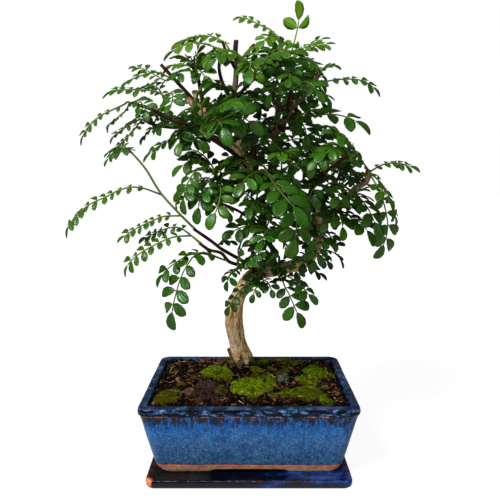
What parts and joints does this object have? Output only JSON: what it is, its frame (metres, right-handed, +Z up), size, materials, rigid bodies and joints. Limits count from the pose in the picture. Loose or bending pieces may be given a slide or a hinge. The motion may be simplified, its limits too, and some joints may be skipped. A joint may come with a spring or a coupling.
{
  "type": "japanese pepper tree bonsai",
  "caption": "Small pruned tree with an S-bent trunk and arching compound leaves, growing from mossy soil in a tapered rectangular glazed pot that stands on a shallow tray.",
  "frame": {"origin": "centre of the saucer's flat underside", "axes": "+Z up the tree, +X to the viewer's right along the pot's long side, +Y away from the viewer, so the front faces -Y"},
  "size_m": [0.3276, 0.2343, 0.4424],
  "materials": {
    "pot_glaze": "gloss",
    "saucer_glaze": "gloss",
    "mesh_plastic": "matte",
    "soil": "matte",
    "bark": "matte",
    "moss": "matte",
    "stone_grey": "matte",
    "stone_purple": "matte",
    "stone_brown": "matte",
    "leaf": "satin"
  },
  "bodies": {
    "root": {"saucer": "saucer_glaze", "pot": "pot_glaze", "drain_mesh_left": "mesh_plastic", "drain_mesh_right": "mesh_plastic", "soil": "soil", "trunk_and_branches": "bark", "moss_front": "moss", "moss_left": "moss", "moss_corner": "moss", "moss_back_right": "moss", "moss_right": "moss", "moss_front_right": "moss", "stone_grey": "stone_grey", "stone_purple": "stone_purple", "stone_brown": "stone_brown", "spray_left_tip": "leaf", "spray_left_upper": "leaf", "spray_left_stub": "leaf", "spray_mast_left": "leaf", "spray_left_rise": "leaf", "spray_left_twig": "leaf", "spray_left_hang": "leaf", "spray_long_shoot": "leaf", "spray_low_left": "leaf", "spray_front_low_left": "leaf", "spray_low_twig_leaves": "leaf", "spray_trunk_front": "leaf", "spray_low_right": "leaf", "spray_front_centre": "leaf", "spray_right_hang": "leaf", "spray_right_low": "leaf", "spray_right_front": "leaf", "spray_right_tip": "leaf", "spray_top_right": "leaf", "spray_top_right_tuft": "leaf", "spray_right_mid": "leaf", "spray_mid_right": "leaf", "spray_crown_left": "leaf", "spray_crown_shoot": "leaf", "spray_mast_right": "leaf", "spray_mast_mid": "leaf", "spray_tan_stub": "leaf", "spray_fill_front_1": "leaf", "spray_fill_front_2": "leaf", "spray_fill_front_3": "leaf", "spray_fill_front_4": "leaf", "spray_fill_front_5": "leaf", "spray_fill_front_6": "leaf", "spray_fill_front_7": "leaf", "spray_fill_back_1": "leaf", "spray_fill_back_2": "leaf", "spray_fill_back_3": "leaf", "spray_fill_back_4": "leaf", "spray_fill_back_5": "leaf", "spray_fill_back_6": "leaf", "spray_fill_back_7": "leaf", "spray_fill_back_8": "leaf", "spray_fill_back_9": "leaf", "spray_fill_inner_1": "leaf", "spray_fill_inner_2": "leaf"}
  },
  "joints": []
}
